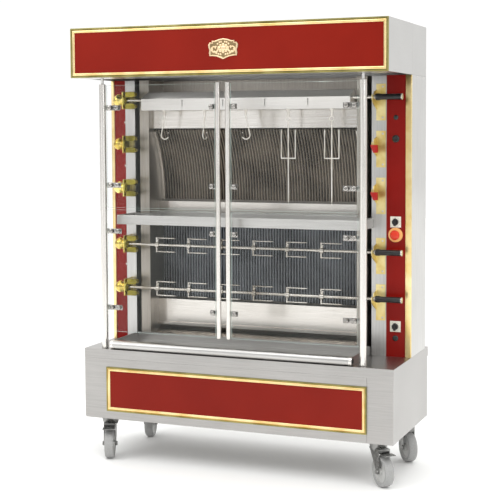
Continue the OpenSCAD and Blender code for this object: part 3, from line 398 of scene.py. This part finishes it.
# a raised oval with petals, and a scroll of beads that winds out to each side
beads = [(0, 0.05, 0.17, 0.7)]
beads += [(0.26 * math.sin(a), 0.05 + 0.34 * math.cos(a), 0.1, 0.5)
          for a in (math.tau * k / 8 for k in range(8))]
for side in (-1, 1):
    for k in range(16):
        turn, reach = 0.9 * math.pi + 0.42 * k, 0.28 - 0.013 * k
        beads.append((side * (0.58 + reach * math.cos(turn)), 0.02 + 1.5 * reach * math.sin(turn),
                      0.075 - 0.0025 * k, 0.45))
    beads += [(side * (0.16 + 0.14 * k), -0.52 + 0.03 * k * k, 0.07, 0.4) for k in range(5)]
    beads += [(side * (0.12 + 0.12 * k), 0.66 - 0.05 * k * k, 0.065, 0.4) for k in range(4)]
for x, z, radius, rise in beads:
    bmesh.ops.create_icosphere(bm, subdivisions=2, radius=radius, matrix=Matrix.Translation((x, z, 0.3))
                               @ Matrix.Diagonal((1, 1.5, rise / radius, 1)))
highest = max(v.co.z for v in bm.verts)
bmesh.ops.scale(bm, vec=(emblem_half.x, emblem_half.z, 2 * emblem_half.y / highest), verts=bm.verts)
for vert in bm.verts:
    vert.co.z = max(vert.co.z, 0)
bmesh.ops.transform(bm, matrix=Matrix.Translation((emblem_mid.x, emblem_hi.y, emblem_mid.z))
                    @ Matrix.Rotation(math.pi / 2, 4, "X"), verts=bm.verts)
make_piece("hood_cartouche", bm, (cast_brass,), "oven", ("hood_emblem",))


# ---------- Radiant end trims ----------
# Bright rolled stainless strips, bent to the curve of the upper radiant and screwed over its two
# ends.
plate_thick, lean, foot_z = 12 * MM, 95 * MM, 1108 * MM
rise = rib_hi.z - foot_z
bend = 2 * math.atan(lean / rise)
bend_r = rise / math.sin(bend)
trim_r = bend_r - plate_thick
pivot = Vector((0, rib_hi.y - bend_r, foot_z))
trim_w, outer_r, inner_r = 13 * MM, trim_r - 0.3 * MM, trim_r - 2 * MM
bm = bmesh.new()
for x0, x1 in ((rib_lo.x, rib_lo.x + trim_w), (rib_hi.x - trim_w, rib_hi.x)):
    corners = ((x0, outer_r), (x0, inner_r), (x1, inner_r), (x1, outer_r))
    strip = bm.faces.new([bm.verts.new((x, pivot.y + r, pivot.z)) for x, r in corners])
    bmesh.ops.spin(bm, geom=[strip], axis=(1, 0, 0), cent=pivot, angle=bend * 0.985, steps=32)
make_piece("radiant_end_trims", bm, (bright_steel,), "oven")


# ---------- Spit drive heads ----------
# Polished brass castings: a domed elbow on a short neck, with a bolted bearing plate that carries
# the drive fork.
def add_turned(bm, outline, place, steps=48):
    """Spins (radius, height) points round Z, then puts the shape in place."""
    old = set(bm.verts)
    start = [bm.verts.new((r, 0, h)) for r, h in outline]
    edges = [bm.edges.new(pair) for pair in zip(start, start[1:])]
    bmesh.ops.spin(bm, geom=start + edges, axis=(0, 0, 1), cent=(0, 0, 0), angle=math.tau,
                   steps=steps, use_merge=True)
    bmesh.ops.remove_doubles(bm, verts=made_since(bm, old), dist=0.000002)
    made = made_since(bm, old)
    bmesh.ops.transform(bm, matrix=place, verts=made)
    return made


def towards(spot, direction):
    """A place at spot whose Z axis runs along direction."""
    return Matrix.Translation(spot) @ Vector(direction).to_track_quat("Z", "Y").to_matrix().to_4x4()


def turned_mm(points):
    return [(r * MM, h * MM) for r, h in points]


hex_bolt = turned_mm([(0, 5.5), (5, 5.5), (6.2, 4.6), (6.2, 0), (0, 0)])
forks = [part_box("fork_%d" % n) for n in range(1, 6)]
axis_y = (forks[0][0].y + forks[0][1].y) / 2
axis_z = [(lo.z + hi.z) / 2 for lo, hi in forks]
head_lo, head_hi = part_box("drive_heads")
dome_r, plate_t, plate_half, bolt_out = 26, 5 * MM, 38 * MM, 28 * MM
head_x = head_lo.x + dome_r * MM
panel_y = head_hi.y - 3 * MM
plate_x = head_hi.x
drive_brass = brass("polished cast brass", "#FAEB90", "#C3A03A", 0.2)
bm = bmesh.new()
for z in axis_z:
    neck = (panel_y - axis_y) / MM
    dome = [(dome_r * math.cos(a), -dome_r * math.sin(a))
            for a in (math.pi / 2 * (1 - k / 12) for k in range(13))]
    add_turned(bm, turned_mm(dome + [(25.4, 5), (22, 12), (20, neck - 14), (20.6, neck - 10), (24, neck - 5),
                                     (24, neck), (0, neck)]), towards((head_x, axis_y, z), (0, 1, 0)))
    reach = (plate_x - plate_t - head_x) / MM
    add_turned(bm, turned_mm([(0, 0), (17.5, 0), (17.5, reach - 7), (20.5, reach - 3), (20.5, reach),
                              (0, reach)]), towards((head_x, axis_y, z), (1, 0, 0)), 40)
    add_turned(bm, turned_mm([(0, 3), (6, 3), (7.5, 1.8), (7.5, 0), (0, 0)]),
               towards((head_x, axis_y, z + (dome_r - 1.4) * MM), (0, 0, 1)), 24)
    add_block(bm, (plate_x - plate_t, axis_y - 22 * MM, z - plate_half), (plate_x, panel_y, z + plate_half),
              1.6 * MM)
    for up in (-1, 1):
        bolt_spot = (plate_x - plate_t, axis_y + 4 * MM, z + up * bolt_out)
        add_turned(bm, hex_bolt, towards(bolt_spot, (-1, 0, 0)), 6)
make_piece("spit_drive_heads", bm, (drive_brass,), "oven", ("drive_heads",))
fork_brass = brass("rough cast brass", "#B3A648", "#5F581C", 0.34)
for n in range(1, 6):
    dress("fork_%d" % n, fork_brass)
bracket_brass = brass("brushed brass plate", "#FBEDB4", "#D9BE6E", 0.34)
dress("spit_brackets", bracket_brass, 0.8 * MM)
gearbox_paint, shader = new_finish("grey hammered gearbox paint", {"Roughness": 0.5})
place = add_node(gearbox_paint, "TexCoord", {}, "Object")
dimples = add_node(gearbox_paint, "TexNoise", {"Vector": place, "Scale": 180.0, "Detail": 1.0})
feed(gearbox_paint, shader, {
    "Base Color": add_node(gearbox_paint, "ValToRGB", {
        0: dimples, "stops": ((0.3, "#50565C"), (0.7, "#656B71"))}),
    "Normal": add_node(gearbox_paint, "Bump", {
        "Height": dimples, "Strength": 0.3, "Distance": 0.5 * MM})})
dress("spit_gearmotors", gearbox_paint)


# ---------- Spits, hook rail and hooks ----------
# Drawn stainless rod, straightened and polished, slightly straw-coloured from the fire. The hooks
# and skewers are of paler wire with a matt bloom.
spit_steel = mottled("drawn stainless rod", {"Metallic": 1.0, "Roughness": 0.24}, 9.0, 4.0,
                     ((0.3, "#9E978C"), (0.7, "#D8D5CF")))
for node in ("spit_4", "spit_5", "rail_shaft"):
    dress(node, spit_steel)
wire_steel = mottled("bright drawn wire", {"Metallic": 1.0, "Roughness": 0.42}, 30.0, 3.0,
                     ((0.3, "#E4DED4"), (0.7, "#FBF8F3")))
for n in range(1, 6):
    dress("hook_%d" % n, wire_steel)


# ---------- Handles ----------
# Black phenolic grips, turned with a collar at the hand stop, between a steel ferrule and a steel
# end cap.
phenolic = mottled("black moulded phenolic", {"Roughness": 0.32, "IOR": 1.52}, 160.0, 3.0,
                   ((0.35, "#0E0E0F"), (0.75, "#232325")))
for n in (1, 4, 5):
    lo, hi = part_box("handle_%d" % n)
    spot = (lo.x, axis_y, (lo.z + hi.z) / 2)
    length = (hi.x - lo.x) / MM
    bm = bmesh.new()
    add_turned(bm, turned_mm([
        (0, 5), (12, 5), (13.4, 6), (14, 8), (14, 19), (13, 24), (12, 28), (11.8, 60), (12.4, length - 12),
        (12.4, length - 5), (0, length - 5)]), towards(spot, (1, 0, 0)))
    make_piece("spit_grip_%d" % n, bm, (phenolic,), "drive_%d" % n, ("handle_%d" % n,))
    bm = bmesh.new()
    add_turned(bm, turned_mm([(0, 0), (10, 0), (10.8, 1), (10.8, 5.5), (0, 5.5)]), towards(spot, (1, 0, 0)))
    add_turned(bm, turned_mm([(0, length - 5.5), (12, length - 5.5), (13, length - 5), (13, length - 1.5),
                              (12, length), (0, length)]), towards(spot, (1, 0, 0)))
    make_piece("grip_fittings_%d" % n, bm, (spit_steel,), "drive_%d" % n)


# ---------- Doors ----------
# Each door hangs on a round pivot tube and is pulled by a thinner handle tube. Two panes of 6 mm
# tempered glass are clamped to lugs on the tubes by button-headed bolts.
tube_steel = brushed_steel("polished stainless tube", (260, 260, 5), "#F6F3EF", "#E3DFDA", 0.27)
glass = new_finish("clear tempered glass", {
    "Base Color": linear("#A8ACA8"), "Roughness": 0.03, "IOR": 1.5, "Alpha": 0.03})[0]
glass_edge = new_finish("polished glass edge", {
    "Base Color": linear("#D3E4DE"), "Roughness": 0.15, "IOR": 1.5, "Alpha": 0.55})[0]
clamp_steel = brushed_steel("cast stainless clamp", (60, 60, 60), "#C2BFBB", "#8D8A86", 0.22)
button = turned_mm([(0, 3.4), (3.4, 3.4), (3.8, 6), (7.5, 5.6), (9.4, 4.2), (10, 2.4), (10, 0), (0, 0)])
pivot_r, handle_r = 14 * MM, 10 * MM
clamp_half, clamp_t, half_gap = 11 * MM, 3 * MM, 4 * MM
for side, inward in (("left", 1), ("right", -1)):
    lo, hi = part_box("door_%s_frame" % side)
    pane_lo, pane_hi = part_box("door_%s_glass" % side)
    if inward > 0:
        pivot_x, handle_x = lo.x + pivot_r, hi.x - handle_r
    else:
        pivot_x, handle_x = hi.x - pivot_r, lo.x + handle_r
    mid_y = (lo.y + hi.y) / 2
    split = (pane_lo.z + hi.z) / 2
    clamp_z = (hi.z - 100 * MM, split + 100 * MM, split - 97 * MM, pane_lo.z + 103 * MM)
    glass_back, glass_front = pane_hi.y, pane_lo.y
    bm = bmesh.new()
    tall = (hi.z - lo.z) / MM
    add_turned(bm, turned_mm([(6.1, 0), (12.5, 0), (14, 1.5), (14, tall - 1.5), (12.5, tall), (6.1, tall)]),
               Matrix.Translation((pivot_x, mid_y, lo.z)))
    low = pane_lo.z - 2 * MM
    tall = (hi.z - low) / MM
    add_turned(bm, turned_mm([(0, 2), (8.2, 2), (8.2, 0), (9.4, 0), (10, 0.8), (10, tall - 2), (8.4, tall),
                              (0, tall)]), Matrix.Translation((handle_x, mid_y, low)))
    tube_faces = len(bm.faces)
    for z in clamp_z:
        spans = ((pivot_x, pivot_x + inward * 84 * MM), (handle_x, handle_x - inward * 41 * MM))
        for start, end in spans:
            add_block(bm, (min(start, end), glass_back, z - clamp_half),
                      (max(start, end), glass_back + clamp_t, z + clamp_half), 1 * MM)
        for x in (pivot_x + inward * 35 * MM, pivot_x + inward * 69 * MM, handle_x - inward * 29 * MM):
            add_turned(bm, button, towards((x, glass_front, z), (0, -1, 0)), 32)
    for k, face in enumerate(bm.faces):
        face.material_index = 0 if k < tube_faces else 1
    make_piece("door_tubes_" + side, bm, (tube_steel, clamp_steel), "door_" + side,
               ("door_%s_frame" % side,))
    bm = bmesh.new()
    for z0, z1 in ((pane_lo.z, split - half_gap), (split + half_gap, pane_hi.z)):
        add_block(bm, (pane_lo.x, glass_front, z0), (pane_hi.x, glass_back, z1), 0.8 * MM, 1)
    for face in bm.faces:
        face.material_index = 0 if abs(face.normal.y) > 0.95 else 1
    make_piece("door_panes_" + side, bm, (glass, glass_edge), "door_" + side,
               ("door_%s_glass" % side,), 20)


# ---------- Bottom drip tray ----------
# A long pan with a rolled front edge to pull it by. Each end of the roll has a bright ring and a
# black rubber bumper.
dress("bottom_drip_tray", wide_steel)
tray_lo, tray_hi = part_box("bottom_drip_tray")
roll = 18 * MM
rubber = mottled("black moulded rubber", {"Roughness": 0.62}, 220.0, 3.0,
                 ((0.4, "#141414"), (0.8, "#2C2C2C")))
ring_bm, cap_bm = bmesh.new(), bmesh.new()
for x, out in ((tray_lo.x, 1), (tray_hi.x, -1)):
    spot = (x, tray_lo.y + roll, tray_lo.z + roll)
    place = towards(spot, (out, 0, 0))
    add_turned(cap_bm, turned_mm([(0, -0.2), (12, -0.2), (14, 0.8), (14, 3), (0, 3)]), place)
    add_turned(ring_bm, turned_mm([(14.5, 0), (17.4, 0), (18.2, 1), (18.2, 13), (17.4, 14), (14.5, 14)]), place)
make_piece("tray_end_rings", ring_bm, (tube_steel,), "bottom_tray")
make_piece("tray_end_bumpers", cap_bm, (rubber,), "bottom_tray")


# ---------- Controls ----------
# Ivory dial plates, black bar knobs, a red mushroom stop button on its amber ring, and small lamps,
# all screwed through the enamelled strip.
def moulded(name, code, roughness, fleck):
    return mottled(name, {"Roughness": roughness, "IOR": 1.5}, 300.0, 2.0, ((0.3, fleck), (0.7, code)))


ivory = moulded("ivory moulded melamine", "#EDE9DC", 0.35, "#DEDACB")
amber = moulded("amber moulded polyamide", "#FFC27A", 0.4, "#F4B062")
black_knob = moulded("black satin polyamide", "#1A1A1B", 0.4, "#101011")
stop_red = moulded("red glossy polycarbonate", "#E2391C", 0.18, "#CF3018")
lamp_green = moulded("smoked lens", "#2B2E2C", 0.12, "#1E201F")
bezel_lo, bezel_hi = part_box("control_bezels")
control_x = (bezel_lo.x + bezel_hi.x) / 2
strip_y = bezel_hi.y
selectors = "upper_selector", "lower_selector"
knobs = {name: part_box(name) for name in selectors + ("emergency_button", "start_button")}
knob_z = {name: (lo.z + hi.z) / 2 for name, (lo, hi) in knobs.items()}
dial_half, dial_t, mark_r, marks = 22.5 * MM, 2 * MM, 18 * MM, 7
mark_area = 2e-6
plates_bm = bmesh.new()
for name in selectors:
    z = knob_z[name]
    add_block(plates_bm, (control_x - dial_half, strip_y - dial_t, z - dial_half),
              (control_x + dial_half, strip_y, z + dial_half), 0.7 * MM)
    for k in range(marks):
        angle = math.radians(-120 + 40 * k)
        spot = (control_x + mark_r * math.sin(angle), strip_y - dial_t, z + mark_r * math.cos(angle))
        bmesh.ops.create_icosphere(plates_bm, subdivisions=1, radius=0.9 * MM, matrix=Matrix.Translation(spot))
for face in plates_bm.faces:
    face.material_index = 1 if face.calc_area() < mark_area and len(face.verts) == 3 else 0
make_piece("dial_plates", plates_bm, (ivory, black_knob), "oven", ("control_bezels",))
rings_bm = bmesh.new()
add_turned(rings_bm, turned_mm([(4.2, 8), (25, 8), (29, 6.5), (30, 4), (30, 0), (4.2, 0)]),
           towards((control_x, strip_y, knob_z["emergency_button"]), (0, -1, 0)))
make_piece("stop_ring", rings_bm, (amber,), "oven")
lens_bm = bmesh.new()
add_turned(lens_bm, turned_mm([(11.2, 0), (11.2, 5), (13, 5), (15, 3.6), (15, 0)]),
           towards((control_x, strip_y, knob_z["start_button"]), (0, -1, 0)))
for z, radius in ((knob_z["start_button"] + 87 * MM, 10), (knob_z["lower_selector"] - 49 * MM, 12)):
    add_turned(lens_bm, turned_mm([(0, 5), (radius - 4, 4.6), (radius - 1.5, 3), (radius, 1.6), (radius, 0),
                                   (0, 0)]), towards((control_x, strip_y, z), (0, -1, 0)), 32)
make_piece("lamp_lenses", lens_bm, (lamp_green,), "oven")
for name in selectors:
    lo, hi = knobs[name]
    spot = (control_x, strip_y - 2.3 * MM, knob_z[name])
    bm = bmesh.new()
    add_turned(bm, turned_mm([(0, 12), (11.5, 12), (12.6, 11), (13, 1), (12.4, 0), (4, 0), (4, -10), (0, -10)]),
               towards(spot, (0, -1, 0)))
    add_block(bm, (control_x - 4.5 * MM, lo.y, lo.z), (control_x + 4.5 * MM, spot[1] - 5 * MM, hi.z),
              1.8 * MM, 3)
    make_piece("bar_knob_" + name, bm, (black_knob,), name, (name,))
lo, hi = knobs["emergency_button"]
bm = bmesh.new()
add_turned(bm, turned_mm([(0, 11), (8, 10.8), (14, 9.6), (18, 7.2), (20, 4), (20, 1.5), (18.6, 0), (4, 0),
                          (4, -20), (0, -20)]),
           towards((control_x, lo.y + 11 * MM, knob_z["emergency_button"]), (0, -1, 0)))
make_piece("stop_mushroom", bm, (stop_red,), "emergency_button", ("emergency_button",))
lo, hi = knobs["start_button"]
bm = bmesh.new()
add_turned(bm, turned_mm([(0, 6), (8, 6), (9.6, 6.5), (11, 5.5), (11, 0), (4, 0), (4, -12), (0, -12)]),
           towards((control_x, lo.y + 6.5 * MM, knob_z["start_button"]), (0, -1, 0)))
make_piece("start_cap", bm, (black_knob,), "start_button", ("start_button",))


# ---------- Rest saddles ----------
# The two brackets that carry no spit each hold a loose red saddle, cut back at the foot so that it
# drops into the rest.
bracket_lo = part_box("spit_brackets")[0]
cap_red = moulded("red moulded polyamide", "#B3130C", 0.35, "#A00E09")
bm = bmesh.new()
empty_levels = axis_z[1:3]
for z in empty_levels:
    made = add_block(bm, (bracket_lo.x - 5 * MM, axis_y - 20 * MM, z - 34 * MM),
                     (bracket_lo.x + 24 * MM, axis_y + 2 * MM, z - 2 * MM), 1.5 * MM)
    for vert in made:
        if vert.co.z < z - 20 * MM and vert.co.x < bracket_lo.x + 6 * MM:
            vert.co.x += 12 * MM
make_piece("rest_caps", bm, (cap_red,), "oven")


# ---------- Casters ----------
# Pressed zinc-plated forks under a ball race, with grey rubber tyres on moulded centres; the front
# pair has a foot brake.
# painted shade: the caster pressings are a darker copy of the zinc plating, for the shade under the oven
zinc = brushed_steel("zinc-plated pressing, painted darker as shade", (60, 60, 60), "#A4A4A2", "#6C6C6A", 0.28)
tyre_rubber = moulded("grey non-marking rubber", "#ACACAB", 0.6, "#9A9A99")
hub_nylon = moulded("pale grey moulded polyamide", "#C9C9C7", 0.45, "#B4B4B2")
screw_zinc = brushed_steel("zinc-plated screw", (60, 60, 60), "#E9E6E2", "#CFCCC8", 0.3)
dress("panel_screws", screw_zinc)
roll_axes = {joint["name"]: joint["axis"] for joint in frame["joints"]}
zinc_edge = 0.8 * MM
dress("caster_plates", zinc, zinc_edge)
for corner in ("front_left", "front_right", "rear_left", "rear_right"):
    lo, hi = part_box("wheel_" + corner)
    place = towards((lo + hi) / 2, roll_axes["wheel_roll_" + corner])
    bm = bmesh.new()
    add_turned(bm, turned_mm([
        (46, -16), (50, -18.2), (56, -19), (59.5, -18), (61.6, -14), (62.4, -8), (62.5, 0), (62.4, 8),
        (61.6, 14), (59.5, 18), (56, 19), (50, 18.2), (46, 16), (46, -16)]), place, 72)
    make_piece("tyre_" + corner, bm, (tyre_rubber,), "wheel_" + corner, ("wheel_" + corner,))
    bm = bmesh.new()
    add_turned(bm, turned_mm([
        (6.05, -21), (13, -21), (14, -20), (14.5, -11), (30, -9), (42, -11), (45, -15.5), (46.2, -15.5),
        (46.2, 15.5), (45, 15.5), (42, 11), (30, 9), (14.5, 11), (14, 20), (13, 21), (6.05, 21), (6.05, -21)]),
        place, 60)
    make_piece("wheel_centre_" + corner, bm, (hub_nylon,), "wheel_" + corner)
    dress("swivel_" + corner, zinc, zinc_edge)
    if corner.startswith("front"):
        dress("brake_" + corner, zinc, zinc_edge)
